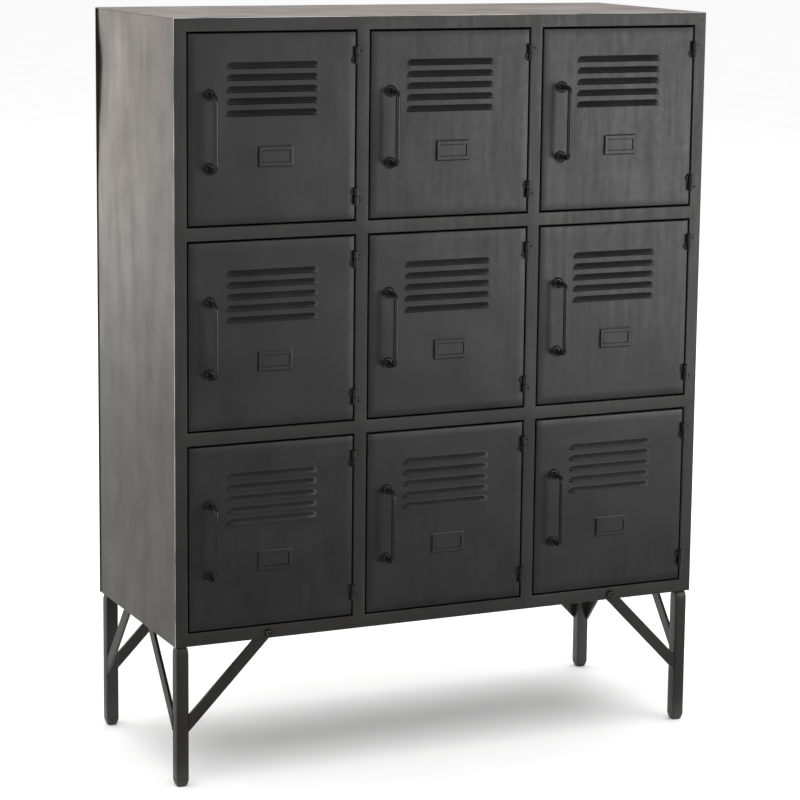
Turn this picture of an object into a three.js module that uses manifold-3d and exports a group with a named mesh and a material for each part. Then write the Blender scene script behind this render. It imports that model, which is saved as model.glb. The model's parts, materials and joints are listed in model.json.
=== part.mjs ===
// Nine-door steel locker cabinet on four braced legs.
// Millimetres, +Z up, +X to the right and +Y to the back of the cabinet.
// The origin is on the floor, under the middle of the whole cabinet with its handles.

import * as THREE from 'three';
import { ConvexGeometry } from 'three/addons/geometries/ConvexGeometry.js';
import { mergeVertices } from 'three/addons/utils/BufferGeometryUtils.js';
import Module from 'manifold-3d';

const wasm = await Module();
wasm.setup();

// ---------------------------------------------------------------- driving dimensions
const WIDTH = 1000;
const DEPTH = 400;
const CASING_HEIGHT = 1054;
const LEG_CLEARANCE = 246;         // floor to the casing's lower edge
const COLUMNS = ['left', 'centre', 'right'];
const ROWS = ['bottom', 'middle', 'top'];

const SHEET = 1;                   // casing and door sheet
const FIT = 0.3;                   // gap between two pieces that meet
const MEMBER = 23;                 // width of every bar of the face frame
const FRAME_SHEET = 1.5;
const FRAME_DEPTH = 20;            // how far the frame's returns reach back
const DOOR_GAP = 2.5;              // slit all round a door
const DOOR_DEPTH = 15;             // folded edges of a door
const REAR_FLANGE = 15;
const SHELF_LIP = 12;

const KNUCKLE_RADIUS = 4;
const KNUCKLE_LENGTH = 14.7;       // one half of a hinge barrel
const PIN_RADIUS = 2;
const BORE_RADIUS = 2.25;
const HINGE_INSET = 42;            // hinge centre from the end of its opening
const HINGE_TAB = { thick: 1.8, half: 5.5, onDoor: 9.5, onFrame: 12 };

const LOUVRES = 5;
const LOUVRE = { width: 164, height: 11, proud: 4.5, hip: 7, pitch: 19.6, firstDrop: 59 };
const HOLDER = {
  width: 59, height: 31.5, border: 4.5, thick: 3.5, floor: 2.8, shift: 4.5, drop: 204,
};
const HANDLE = {
  span: 121.5, reach: 30.5, radius: 4, bend: 9, inset: 36.5, drop: 161.5, steps: 26,
};
const ROSETTE = { radius: 10.5, thick: 2 };
const STOP = { width: 12, height: 34, thick: 1.5 };

const LEG = { side: 22, wall: 1.5, inset: 4 };
const FOOT = { height: 14, sole: 16, chamfer: 3, round: 2, plug: 16 };
const BRACE = { width: 20, thick: 5, drop: 135, reachX: 158, reachY: 137, top: 16 };
const BOLT = {
  radius: 3, hole: 3.3, rise: 10, washer: 8, washerThick: 1.2,
  head: 5.3, headThick: 3, headRound: 2, crown: 0.4, socket: 2.2,
  nut: 5.8, nutThick: 5, end: 3,
};

// ---------------------------------------------------------------- derived places
const HANDLE_FRONT = HANDLE.reach + HANDLE.radius;
const BOLT_HEAD = BOLT.washerThick + BOLT.headThick;
const FRONT = HANDLE_FRONT - (HANDLE_FRONT + DEPTH + BOLT_HEAD) / 2;
const BACK = FRONT + DEPTH;
const HALF = WIDTH / 2;
const BASE = LEG_CLEARANCE;
const TOP = BASE + CASING_HEIGHT;
const OPENING_WIDTH = (WIDTH - (COLUMNS.length + 1) * MEMBER) / COLUMNS.length;
const OPENING_HEIGHT = (CASING_HEIGHT - (ROWS.length + 1) * MEMBER) / ROWS.length;
const DOOR_WIDTH = OPENING_WIDTH - 2 * DOOR_GAP;
const AXIS_TO_FACE = KNUCKLE_RADIUS + FIT;
const AXIS_Y = FRONT - AXIS_TO_FACE;
const INSIDE_FRONT = FRONT + FRAME_DEPTH + FIT;
const INSIDE_BACK = BACK - 2 * (SHEET + FIT);
const CUT = 5;                     // how far a cutting solid runs past what it cuts
const braceSlope = BRACE.drop / (BRACE.reachX - LEG.inset - LEG.side);
const boltX = HALF - BRACE.reachX - BOLT.rise / braceSlope;
const boltZ = BASE + BOLT.rise;

const openings = ROWS.flatMap((row, r) => COLUMNS.map((column, c) => {
  const x0 = -HALF + MEMBER + c * (OPENING_WIDTH + MEMBER);
  const z0 = BASE + MEMBER + r * (OPENING_HEIGHT + MEMBER);
  return { name: `${row}_${column}`, x0, x1: x0 + OPENING_WIDTH, z0, z1: z0 + OPENING_HEIGHT };
}));
const mullionMiddles = [1, 2].map((c) => -HALF + c * (OPENING_WIDTH + MEMBER) + MEMBER / 2);
const shelfTops = [1, 2].map((r) => BASE + MEMBER + r * (OPENING_HEIGHT + MEMBER));

// ---------------------------------------------------------------- finishes
const blackPaint = { color: 0x3b3b3c, roughness: 0.5, metalness: 0.3 };
const doorPaint = { color: 0x454546, roughness: 0.5, metalness: 0.3 };
const casingPaint = { color: 0x55534f, roughness: 0.4, metalness: 0.3 };
const blackSteel = { color: 0x2a2a2b, roughness: 0.4, metalness: 0.6 };
const blackPlastic = { color: 0x1d1d1e, roughness: 0.6, metalness: 0 };

// ---------------------------------------------------------------- solids
// A closed geometry as a solid that can be joined and cut.
function solid(geometry) {
  const bare = geometry.clone();
  bare.deleteAttribute('normal');
  bare.deleteAttribute('uv');
  const merged = mergeVertices(bare, 1e-4);
  const index = merged.index.array;
  const corners = [];
  for (let i = 0; i < index.length; i += 3) {
    const [a, b, c] = [index[i], index[i + 1], index[i + 2]];
    if (a !== b && b !== c && c !== a) corners.push(a, b, c);
  }
  return new wasm.Manifold(new wasm.Mesh({
    numProp: 3,
    vertProperties: new Float32Array(merged.attributes.position.array),
    triVerts: new Uint32Array(corners),
  }));
}

function geometryOf(shape) {
  const mesh = shape.getMesh();
  const geometry = new THREE.BufferGeometry();
  geometry.setAttribute('position', new THREE.BufferAttribute(mesh.vertProperties, 3));
  geometry.setIndex(new THREE.BufferAttribute(mesh.triVerts, 1));
  geometry.computeVertexNormals();
  return geometry;
}

function block([x0, y0, z0], [x1, y1, z1]) {
  const box = new THREE.BoxGeometry(x1 - x0, y1 - y0, z1 - z0);
  box.translate((x0 + x1) / 2, (y0 + y1) / 2, (z0 + z1) / 2);
  return solid(box);
}

const join = (shapes) => shapes.reduce((whole, next) => whole.add(next));
const cut = (shape, tools) => tools.reduce((left, tool) => left.subtract(tool), shape);

// An upright round bar from z0 to z1.
function upright(radius, x, y, z0, z1, sides = 10) {
  const bar = new THREE.CylinderGeometry(radius, radius, z1 - z0, sides);
  bar.rotateX(Math.PI / 2);
  bar.translate(x, y, (z0 + z1) / 2);
  return solid(bar);
}

// A round bar that runs from front to back, from y0 to y1.
function level(radius, x, z, y0, y1, sides = 10) {
  const bar = new THREE.CylinderGeometry(radius, radius, y1 - y0, sides);
  bar.translate(x, (y0 + y1) / 2, z);
  return solid(bar);
}

// A flat plate cut from an outline in the XZ plane, from y0 back to y1.
function plateXZ(outline, y0, y1) {
  const plate = new THREE.ExtrudeGeometry(outline, { depth: y1 - y0, bevelEnabled: false, curveSegments: 6 });
  plate.rotateX(Math.PI / 2);
  plate.translate(0, y1, 0);
  return solid(plate);
}

const shapeOf = (points) => new THREE.Shape(points.map(([u, v]) => new THREE.Vector2(u, v)));

// ---------------------------------------------------------------- hinges
// The tab is a small round-ended plate on the face, welded to its half of the barrel.
function hingeTab(side, reach, face, z) {
  const round = HINGE_TAB.half;
  const outline = new THREE.Shape();
  outline.moveTo(0, -round);
  outline.lineTo(reach - round, -round);
  outline.absarc(reach - round, 0, round, -Math.PI / 2, Math.PI / 2);
  outline.lineTo(0, round);
  outline.closePath();
  const tab = new THREE.ExtrudeGeometry(
    outline, { depth: HINGE_TAB.thick + FIT, bevelEnabled: false, curveSegments: 2 });
  tab.rotateX(Math.PI / 2);
  if (side < 0) tab.rotateZ(Math.PI);
  tab.translate(0, side < 0 ? face - HINGE_TAB.thick : face + FIT, z);
  return solid(tab);
}

// Middle heights of the door's and the frame's half of a hinge. The frame's halves are
// the outer ones, so that the door is held between them.
const upperHinge = OPENING_HEIGHT - HINGE_INSET;
const hingeHalves = [
  { frame: upperHinge + KNUCKLE_LENGTH / 2, door: upperHinge - KNUCKLE_LENGTH / 2 },
  { frame: HINGE_INSET - KNUCKLE_LENGTH / 2, door: HINGE_INSET + KNUCKLE_LENGTH / 2 },
];
const knuckleHalf = KNUCKLE_LENGTH / 2 - FIT / 2;

function doorHingeHalves() {
  return join(hingeHalves.map(({ door: z }) => {
    const barrel = upright(KNUCKLE_RADIUS, 0, 0, z - knuckleHalf, z + knuckleHalf);
    const bore = upright(BORE_RADIUS, 0, 0, z - KNUCKLE_LENGTH, z + KNUCKLE_LENGTH, 8);
    return barrel.add(hingeTab(-1, HINGE_TAB.onDoor, AXIS_TO_FACE, z)).subtract(bore);
  }));
}

function frameHingeHalves() {
  return join(hingeHalves.map(({ frame: z, door }) => {
    const barrel = upright(KNUCKLE_RADIUS, 0, 0, z - knuckleHalf, z + knuckleHalf);
    const pinEnd = door + Math.sign(door - z) * (knuckleHalf - FIT);
    const pin = upright(PIN_RADIUS, 0, 0, Math.min(z, pinEnd), Math.max(z, pinEnd), 8);
    return join([barrel, pin, hingeTab(1, HINGE_TAB.onFrame, AXIS_TO_FACE, z)]);
  }));
}

// ---------------------------------------------------------------- face frame
// One welded piece: a lattice of folded bars, a return round each opening, the fixed
// halves of the hinges and a stop behind the free edge of each door.
function frontFrame() {
  const returns = openings.map(({ x0, x1, z0, z1 }) => block(
    [x0 - FRAME_SHEET, FRONT, z0 - FRAME_SHEET], [x1 + FRAME_SHEET, FRONT + FRAME_DEPTH, z1 + FRAME_SHEET]));
  const holes = openings.map(({ x0, x1, z0, z1 }) => block(
    [x0, FRONT - CUT, z0], [x1, FRONT + FRAME_DEPTH + CUT, z1]));
  const stopFront = FRONT + DOOR_DEPTH + FIT;
  const stops = openings.map(({ x0, z0 }) => {
    const z = z0 + OPENING_HEIGHT / 2;
    return block([x0 - FRAME_SHEET / 2, stopFront, z - STOP.height / 2],
      [x0 + STOP.width, stopFront + STOP.thick, z + STOP.height / 2]);
  });
  const hinges = openings.map(({ x1, z0 }) => frameHingeHalves().translate([x1 - DOOR_GAP / 2, AXIS_Y, z0]));
  const boltHoles = [-1, 1].map((side) => level(BOLT.hole, side * boltX, boltZ, FRONT - CUT, FRONT + CUT));
  const plate = block([-HALF, FRONT, BASE], [HALF, FRONT + FRAME_SHEET, TOP]);
  return join([cut(join([plate, ...returns]), [...holes, ...boltHoles]), ...stops, ...hinges]);
}

// ---------------------------------------------------------------- casing
const bodyFront = FRONT + FRAME_SHEET + FIT;

function sidePanel(side) {
  const outer = side * HALF;
  const rear = BACK - SHEET - FIT;
  const roof = TOP - SHEET - FIT;
  const span = (a, b) => [Math.min(a, b), Math.max(a, b)];
  const [s0, s1] = span(outer, outer - side * SHEET);
  const [f0, f1] = span(outer, outer - side * REAR_FLANGE);
  const wall = block([s0, bodyFront, BASE], [s1, rear, roof]);
  return wall.add(block([f0, rear - SHEET, BASE], [f1, rear, roof]));
}

function backPanel() {
  const panel = block([-HALF, BACK - SHEET, BASE], [HALF, BACK, TOP - SHEET - FIT]);
  return cut(panel, [-1, 1].map((side) => level(BOLT.hole, side * boltX, boltZ, BACK - CUT, BACK + CUT)));
}

const topPanel = () => block([-HALF, bodyFront, TOP - SHEET], [HALF, BACK, TOP]);

// Shelves and dividers slot into each other halfway, like an egg crate.
const crateMiddle = (INSIDE_FRONT + INSIDE_BACK) / 2;
const slotHalf = SHEET / 2 + FIT;
const crateEdge = HALF - SHEET - FIT;

function bottomPanel() {
  const upperFace = BASE + MEMBER;
  return block([-crateEdge, INSIDE_FRONT, upperFace - SHEET], [crateEdge, INSIDE_BACK, upperFace]);
}

function shelf(z) {
  const under = z - SHEET - SHELF_LIP;
  const inner = crateEdge - SHEET;
  const sheet = block([-crateEdge, INSIDE_FRONT, under], [crateEdge, INSIDE_BACK, z]);
  const hollow = block([-inner, INSIDE_FRONT + SHEET, under - CUT], [inner, INSIDE_BACK - SHEET, z - SHEET]);
  const slots = mullionMiddles.map((x) => block(
    [x - slotHalf, crateMiddle, under - CUT], [x + slotHalf, BACK, z + CUT]));
  return cut(sheet, [hollow, ...slots]);
}

function divider(x) {
  const sheet = block([x - SHEET / 2, INSIDE_FRONT, BASE + MEMBER + FIT],
    [x + SHEET / 2, INSIDE_BACK, TOP - SHEET - FIT]);
  const slots = shelfTops.map((z) => block(
    [x - CUT, FRONT, z - SHEET - SHELF_LIP - FIT], [x + CUT, crateMiddle + FIT, z + FIT]));
  return cut(sheet, slots);
}

// ---------------------------------------------------------------- legs
const footTop = FOOT.height;
const legTop = BASE + MEMBER - FRAME_SHEET - FIT;
const legMiddleX = HALF - LEG.inset - LEG.side / 2;
const legMiddleY = DEPTH / 2 - LEG.inset - LEG.side / 2;

// A square tube, open at the foot and capped at the top.
function legTube() {
  const half = LEG.side / 2;
  const bore = half - LEG.wall;
  return block([-half, -half, footTop], [half, half, legTop])
    .subtract(block([-bore, -bore, footTop - CUT], [bore, bore, legTop - LEG.wall]));
}

// A moulded foot: a plug inside the tube and a sole that tapers to the floor.
function foot() {
  const half = LEG.side / 2;
  const sole = FOOT.sole / 2;
  const ring = (h, z) => [[h, h], [-h, h], [-h, -h], [h, -h]].flatMap(([x, y]) => {
    const c = FOOT.chamfer;
    return [new THREE.Vector3(x - Math.sign(x) * c, y, z), new THREE.Vector3(x, y - Math.sign(y) * c, z)];
  });
  const pad = solid(new ConvexGeometry(
    [...ring(sole, 0), ...ring(sole + FOOT.round, FOOT.round), ...ring(half, footTop - FIT)]));
  const inside = half - LEG.wall - FIT;
  const plug = block([-inside, -inside, footTop - 2 * FIT], [inside, inside, footTop + FOOT.plug]);
  return pad.add(plug);
}

// A brace is a flat bar laid in the plane of two walls. Its outline runs from the leg's
// face (u = 0) to the casing's lower edge (u = reach) and on up behind it.
function braceOutline(reach) {
  const slope = BRACE.drop / reach;
  const half = BRACE.width / 2 * Math.hypot(1, slope);
  const low = BASE - BRACE.drop;
  const high = BASE + BRACE.top;
  const run = (high - low) / slope;
  const offset = half / slope;
  return shapeOf([
    [FIT, low - half + FIT * slope],
    [run + offset, high],
    [run - offset, high],
    [FIT, low + half + FIT * slope],
  ]);
}

// Braces of the front left leg, in the leg's own frame: x and y from the tube's middle.
function widthBrace() {
  const reach = BRACE.reachX - LEG.inset - LEG.side;
  const outer = -LEG.side / 2;
  const bar = plateXZ(braceOutline(reach), outer, outer + BRACE.thick).translate([LEG.side / 2, 0, 0]);
  const boltFromLeg = HALF - boltX - LEG.inset - LEG.side / 2;
  return bar.subtract(level(BOLT.hole, boltFromLeg, boltZ, outer - CUT, outer + BRACE.thick + CUT));
}

function depthBrace() {
  const reach = BRACE.reachY - LEG.inset - LEG.side;
  const outer = -LEG.side / 2;
  return plateXZ(braceOutline(reach), -outer - BRACE.thick, -outer).rotate([0, 0, 90])
    .translate([0, LEG.side / 2, 0]);
}

// A button-head bolt with its washer and nut. Its head faces the front at y = 0.
function legBolt() {
  const grip = LEG.inset + BRACE.thick + FIT;
  const nutBack = grip + BOLT.nutThick;
  const crown = -BOLT_HEAD;
  const shoulder = crown + BOLT.headRound;
  const end = nutBack + BOLT.end;
  const profile = [
    [0, shoulder], [BOLT.socket, shoulder], [BOLT.socket, crown],
    [BOLT.head - BOLT.headRound, crown + BOLT.crown], [BOLT.head, shoulder],
    [BOLT.head, -BOLT.washerThick], [BOLT.washer, -BOLT.washerThick],
    [BOLT.washer, -FIT], [BOLT.radius, -FIT], [BOLT.radius, grip], [BOLT.nut, grip],
    [BOLT.nut, nutBack], [BOLT.radius, nutBack], [BOLT.radius, end], [0, end],
  ];
  return solid(new THREE.LatheGeometry(profile.map(([r, y]) => new THREE.Vector2(r, y)), 8));
}

// ---------------------------------------------------------------- doors
// A door is drawn about its hinge axis: x and y from the axis, z from the opening's edge.
const doorX1 = -DOOR_GAP / 2;
const doorX0 = doorX1 - DOOR_WIDTH;
const doorZ1 = OPENING_HEIGHT - DOOR_GAP;
const doorMiddle = (doorX0 + doorX1) / 2;
const face = AXIS_TO_FACE;

// A pressed louvre is a hood with sloping ends, open along its lower edge. Hood and
// mouth are both hulls of three lines along X, given as [half length, y, z].
function ridge(lines) {
  const ends = lines.flatMap(([half, y, z]) => [-1, 1].map((s) => new THREE.Vector3(s * half, y, z)));
  return solid(new ConvexGeometry(ends)).translate([doorMiddle, 0, 0]);
}

function doorPanel() {
  const { width, height, proud, hip } = LOUVRE;
  const half = width / 2;
  const behind = face + 2 * SHEET;
  const tray = block([doorX0, face, DOOR_GAP], [doorX1, face + DOOR_DEPTH, doorZ1])
    .subtract(block([doorX0 + SHEET, face + SHEET, DOOR_GAP + SHEET],
      [doorX1 - SHEET, face + DOOR_DEPTH + CUT, doorZ1 - SHEET]));
  const lips = Array.from({ length: LOUVRES }, (_, i) => doorZ1 - LOUVRE.firstDrop - i * LOUVRE.pitch);
  const hoods = lips.map((z) => ridge([
    [half, face + FIT, z],
    [half - hip / 2, face - proud, z],
    [half - hip, face + FIT, z + height],
  ]));
  const mouths = lips.map((z) => ridge([
    [half - hip, face - proud + SHEET, z - FIT],
    [half - hip, behind, z - FIT],
    [half - hip, behind, z + height / 2],
  ]));
  return join([cut(join([tray, ...hoods]), mouths), doorHingeHalves()]);
}

// A D-shaped pull of round rod on two round plates.
function handle() {
  const { span, reach, radius, bend } = HANDLE;
  const x = doorX0 + HANDLE.inset;
  const z = doorZ1 - HANDLE.drop;
  const seat = face - FIT;
  const rod = face - reach;
  const at = (y, side, dz = 0) => new THREE.Vector3(x, y, z + side * (span / 2 - dz));
  const path = new THREE.CurvePath();
  path.add(new THREE.LineCurve3(at(seat, 1), at(rod + bend, 1)));
  path.add(new THREE.QuadraticBezierCurve3(at(rod + bend, 1), at(rod, 1), at(rod, 1, bend)));
  path.add(new THREE.LineCurve3(at(rod, 1, bend), at(rod, -1, bend)));
  path.add(new THREE.QuadraticBezierCurve3(at(rod, -1, bend), at(rod, -1), at(rod + bend, -1)));
  path.add(new THREE.LineCurve3(at(rod + bend, -1), at(seat, -1)));
  const section = new THREE.Shape();
  section.absarc(0, 0, radius, 0, 2 * Math.PI);
  const bar = solid(new THREE.ExtrudeGeometry(
    section, { steps: HANDLE.steps, extrudePath: path, curveSegments: 3 }));
  const plates = [-1, 1].map((side) => level(
    ROSETTE.radius, x, z + side * span / 2, seat - ROSETTE.thick, seat, 14));
  return join([bar, ...plates]);
}

// A pressed card holder: a rim round a shallow pocket.
function cardHolder() {
  const x = doorMiddle + HOLDER.shift;
  const z = doorZ1 - HOLDER.drop;
  const w = HOLDER.width / 2;
  const h = HOLDER.height / 2;
  const seat = face - FIT;
  const front = seat - HOLDER.thick;
  const [iw, ih] = [w - HOLDER.border, h - HOLDER.border];
  return block([x - w, front, z - h], [x + w, seat, z + h])
    .subtract(block([x - iw, front - CUT, z - ih], [x + iw, seat - HOLDER.floor, z + ih]));
}

// ---------------------------------------------------------------- assembly
const cabinet = new THREE.Group();

function place(name, geometry, finish, parent = cabinet) {
  const mesh = new THREE.Mesh(geometry, new THREE.MeshStandardMaterial(finish));
  mesh.name = name;
  parent.add(mesh);
  return mesh;
}

place('front_frame', geometryOf(frontFrame()), blackPaint);
place('side_panel_left', geometryOf(sidePanel(-1)), casingPaint);
place('side_panel_right', geometryOf(sidePanel(1)), casingPaint);
place('back_panel', geometryOf(backPanel()), casingPaint);
place('top_panel', geometryOf(topPanel()), casingPaint);
place('bottom_panel', geometryOf(bottomPanel()), casingPaint);
shelfTops.forEach((z, i) => {
  place(`shelf_${['lower', 'upper'][i]}`, geometryOf(shelf(z)), casingPaint);
});
mullionMiddles.forEach((x, i) => {
  place(`divider_${['left', 'right'][i]}`, geometryOf(divider(x)), casingPaint);
});

// Every leg stands in a corner and is mirrored from the front left one.
const mirrored = (shape, sx, sy) => geometryOf(shape.scale([sx, sy, 1]));
const corners = [['front_left', 1, 1], ['front_right', -1, 1], ['back_left', 1, -1], ['back_right', -1, -1]];
for (const [corner, sx, sy] of corners) {
  const stand = new THREE.Group();
  stand.position.set(-sx * legMiddleX, (FRONT + BACK) / 2 - sy * legMiddleY, 0);
  place(`leg_${corner}`, geometryOf(legTube()), blackPaint, stand);
  place(`foot_${corner}`, geometryOf(foot()), blackPlastic, stand);
  place(`width_brace_${corner}`, mirrored(widthBrace(), sx, sy), blackPaint, stand);
  place(`depth_brace_${corner}`, mirrored(depthBrace(), sx, sy), blackPaint, stand);
  cabinet.add(stand);

  const bolt = place(`leg_bolt_${corner}`, mirrored(legBolt(), 1, sy), blackSteel);
  bolt.position.set(-sx * boltX, sy > 0 ? FRONT : BACK, boltZ);
}

// All nine doors are alike and hinge on the right.
const panelShape = geometryOf(doorPanel());
const handleShape = geometryOf(handle());
const holderShape = geometryOf(cardHolder());
for (const { name, x1, z0 } of openings) {
  const door = new THREE.Group();
  door.position.set(x1 - DOOR_GAP / 2, AXIS_Y, z0);
  place(`door_${name}`, panelShape, doorPaint, door);
  place(`handle_${name}`, handleShape, blackSteel, door);
  place(`card_holder_${name}`, holderShape, blackPaint, door);
  cabinet.add(door);
}

export default cabinet;
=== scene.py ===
# %% [markdown]
# # A steel locker cabinet with nine doors
#
# The cabinet is made of thin painted sheet steel. A welded face frame holds nine small doors, three
# across and three up. Every door is a shallow folded tray with five pressed louvres, a round D-shaped
# pull and a pressed card holder. The casing stands on four square legs with slanting braces.
#
# We build it one piece at a time, as it would be made in a workshop: cut, fold, press, weld, bolt,
# paint. All lengths are in metres. Small sizes are written in millimetres times `MM`.

# %% Load the frame
import json
import math
import random

import bmesh
import bpy
from mathutils import Matrix, Vector

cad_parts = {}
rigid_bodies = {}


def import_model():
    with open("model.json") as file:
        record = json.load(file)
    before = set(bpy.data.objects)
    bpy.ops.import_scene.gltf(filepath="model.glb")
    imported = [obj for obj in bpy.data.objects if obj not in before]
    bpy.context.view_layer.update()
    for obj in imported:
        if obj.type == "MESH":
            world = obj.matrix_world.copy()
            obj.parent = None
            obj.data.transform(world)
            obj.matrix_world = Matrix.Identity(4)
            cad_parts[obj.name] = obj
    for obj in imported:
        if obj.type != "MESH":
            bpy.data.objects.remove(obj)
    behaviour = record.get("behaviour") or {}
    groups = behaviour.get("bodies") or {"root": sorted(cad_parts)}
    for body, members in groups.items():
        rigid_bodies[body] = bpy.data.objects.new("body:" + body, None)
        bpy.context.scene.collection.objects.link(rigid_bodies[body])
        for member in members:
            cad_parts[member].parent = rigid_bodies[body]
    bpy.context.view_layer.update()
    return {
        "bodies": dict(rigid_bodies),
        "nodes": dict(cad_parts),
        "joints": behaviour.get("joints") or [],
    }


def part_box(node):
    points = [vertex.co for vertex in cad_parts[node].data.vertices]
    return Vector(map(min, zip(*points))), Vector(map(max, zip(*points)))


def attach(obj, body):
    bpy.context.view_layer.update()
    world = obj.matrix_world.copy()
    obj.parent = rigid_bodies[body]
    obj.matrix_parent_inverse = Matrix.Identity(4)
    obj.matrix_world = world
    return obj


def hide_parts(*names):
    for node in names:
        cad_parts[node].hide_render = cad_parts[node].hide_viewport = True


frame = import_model()
MM = 0.001

# %% [markdown]
# ## Where things are
#
# The frame tells us where each hinge axis is. A door is easiest to draw around that axis, since all
# nine doors are alike, so we keep a list with the place of every door. The other places come from the
# frame's boxes.

# %% Places taken from the frame
doors = {}
for joint in frame["joints"]:
    name = joint["name"].replace("hinge_", "")
    doors[name] = {"body": joint["child"], "axis": Vector(joint["pos_m"])}

SHEET = 1.0 * MM          # casing and door sheet
FRAME_SHEET = 1.5 * MM    # the face frame's sheet
FIT = 0.3 * MM            # the hairline between two pieces that meet
MEMBER = 23 * MM          # width of each bar of the face frame
DOOR_GAP = 2.5 * MM       # slit all round a door

casing_low, casing_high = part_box("back_panel")
BASE = casing_low.z
HALF = casing_high.x
BACK = casing_high.y
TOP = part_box("top_panel")[1].z
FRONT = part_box("side_panel_left")[0].y - FRAME_SHEET - FIT
OPENING_W = (2 * HALF - 4 * MEMBER) / 3
OPENING_H = (TOP - BASE - 4 * MEMBER) / 3
for place in doors.values():
    place["corner"] = Vector((place["axis"].x + DOOR_GAP / 2 - OPENING_W, FRONT,
                              place["axis"].z - OPENING_H / 2))
print("one opening:", round(OPENING_W / MM, 1), "by", round(OPENING_H / MM, 1), "mm")

# %% [markdown]
# ## Making a mesh
#
# Nearly every piece below is a list of points and a list of faces. `make_object` turns them into a
# Blender object. It merges points that coincide, turns all faces the same way, and shades curved parts
# smooth while folds sharper than the given angle stay crisp. An open sheet has no inside, so `outward`
# turns it over when most of its area looks the wrong way.

# %% Making a mesh
def make_object(name, shape, material, sharp=32):
    points, faces = shape
    mesh = bpy.data.meshes.new(name)
    mesh.from_pydata([tuple(p) for p in points], [], [tuple(f) for f in faces])
    finish_mesh(mesh, sharp)
    mesh.materials.append(material)
    made = bpy.data.objects.new(name, mesh)
    bpy.context.scene.collection.objects.link(made)
    return made


def finish_mesh(mesh, sharp):
    work = bmesh.new()
    work.from_mesh(mesh)
    bmesh.ops.remove_doubles(work, verts=work.verts, dist=0.004 * MM)
    bmesh.ops.recalc_face_normals(work, faces=work.faces)
    work.to_mesh(mesh)
    work.free()
    mesh.shade_smooth()
    mesh.set_sharp_from_angle(angle=math.radians(sharp))


def outward(made, axis, sign):
    """Turns an open sheet so that most of its area looks that way along the axis (0, 1, 2 = x, y, z)."""
    if sum(face.normal[axis] * face.area for face in made.data.polygons) * sign < 0:
        made.data.flip_normals()


# %% [markdown]
# ## Shapes as points and faces
#
# A few small tools make the shapes. `loft` skins a row of rings, like the hoops of a barrel: a tube, a
# washer and a pressed card holder are all lofts. `together` puts shapes in one list, `moved` shifts a
# shape, `mirrored` swaps its left and right, and `rounded_ring` is a rectangle with round corners.

# %% Shapes as points and faces
def loft(rings, cap_first=True, cap_last=True):
    count = len(rings[0])
    points = [p for ring in rings for p in ring]
    faces = []
    for r in range(len(rings) - 1):
        for i in range(count):
            j = (i + 1) % count
            faces.append((r * count + i, r * count + j, (r + 1) * count + j, (r + 1) * count + i))
    if cap_first:
        faces.append(tuple(range(count)))
    if cap_last:
        faces.append(tuple((len(rings) - 1) * count + i for i in range(count)))
    return points, faces


def together(shapes):
    points, faces = [], []
    for more_points, more_faces in shapes:
        shift = len(points)
        points += more_points
        faces += [tuple(i + shift for i in face) for face in more_faces]
    return points, faces


def moved(shape, offset):
    return [Vector(p) + Vector(offset) for p in shape[0]], shape[1]


def mirrored(shape, side):
    """The shape as it is for side +1, and with left and right swapped for side -1."""
    return [Vector((p[0] * side, p[1], p[2])) for p in shape[0]], shape[1]


def rounded_ring(half_u, half_v, radius, steps=5):
    """Points (u, v) round a rectangle with round corners, anticlockwise."""
    ring = []
    for quarter, (su, sv) in enumerate([(1, 1), (-1, 1), (-1, -1), (1, -1)]):
        for i in range(steps + 1):
            turn = math.pi / 2 * (quarter + i / steps)
            ring.append((su * (half_u - radius) + radius * math.cos(turn),
                         sv * (half_v - radius) + radius * math.sin(turn)))
    return ring


# %% [markdown]
# `lathe` turns a profile round an upright or level axis, for washers, barrels and bolts. With
# `corners=6` it makes the flats of a nut or of a hexagon socket. `plate` is a flat piece cut from an
# outline, with a small chamfer round its front edge, as sheared steel is deburred before painting.

# %% Turned and cut shapes
def lathe(profile, axis, segments=32, corners=None):
    """Rings of the profile's (radius, height) pairs. A corners entry makes that ring a polygon."""
    rings = []
    for k, (radius, height) in enumerate(profile):
        flats = (corners or {}).get(k)
        ring = []
        for i in range(segments):
            turn = 2 * math.pi * i / segments
            reach = radius
            if flats:
                part = math.pi / flats
                reach = radius * math.cos(part) / math.cos((turn % (2 * part)) - part)
            u, v = reach * math.cos(turn), reach * math.sin(turn)
            ring.append(Vector((u, v, height)) if axis == "Z" else Vector((u, height, v)))
        rings.append(ring)
    return loft(rings)


def inset(outline, distance):
    """A convex outline of (u, v) points, drawn smaller by the distance. It runs anticlockwise."""
    smaller = []
    for i, here in enumerate(outline):
        before, after = Vector(outline[i - 1]), Vector(outline[(i + 1) % len(outline)])
        here = Vector(here)
        one, two = (here - before).normalized(), (after - here).normalized()
        inward = Vector((-(one.y + two.y), one.x + two.x)).normalized()
        lean = max(0.3, abs(Vector((-one.y, one.x)).dot(inward)))
        smaller.append(here + inward * distance / lean)
    return smaller


def plate(outline, front, back, chamfer):
    """A plate in the XZ plane between two depths, chamfered round its front edge."""
    rings = [(inset(outline, chamfer), front), (outline, front + chamfer), (outline, back)]
    return loft([[Vector((u, y, v)) for u, v in ring] for ring, y in rings])


# %% [markdown]
# ## Sheets and folds
#
# Sheet metal is drawn as a grid of points, and `grid_sheet` makes one from its lines and a rule for each
# crossing. Sheet can't be folded to a sharp corner: it goes round a small radius, and those small rounds
# catch the light. `QUARTER_FOLD` is that quarter circle, and `folded_edges` runs it round a whole sheet.

# %% Sheets and folds
FOLD = 1.6 * MM           # outside radius of a fold
FOLD_STEPS = 4
turns = [math.pi / 2 * i / FOLD_STEPS for i in range(FOLD_STEPS + 1)]
QUARTER_FOLD = [(FOLD * math.sin(t), FOLD * (1 - math.cos(t))) for t in turns]  # (outward, back)


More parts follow.
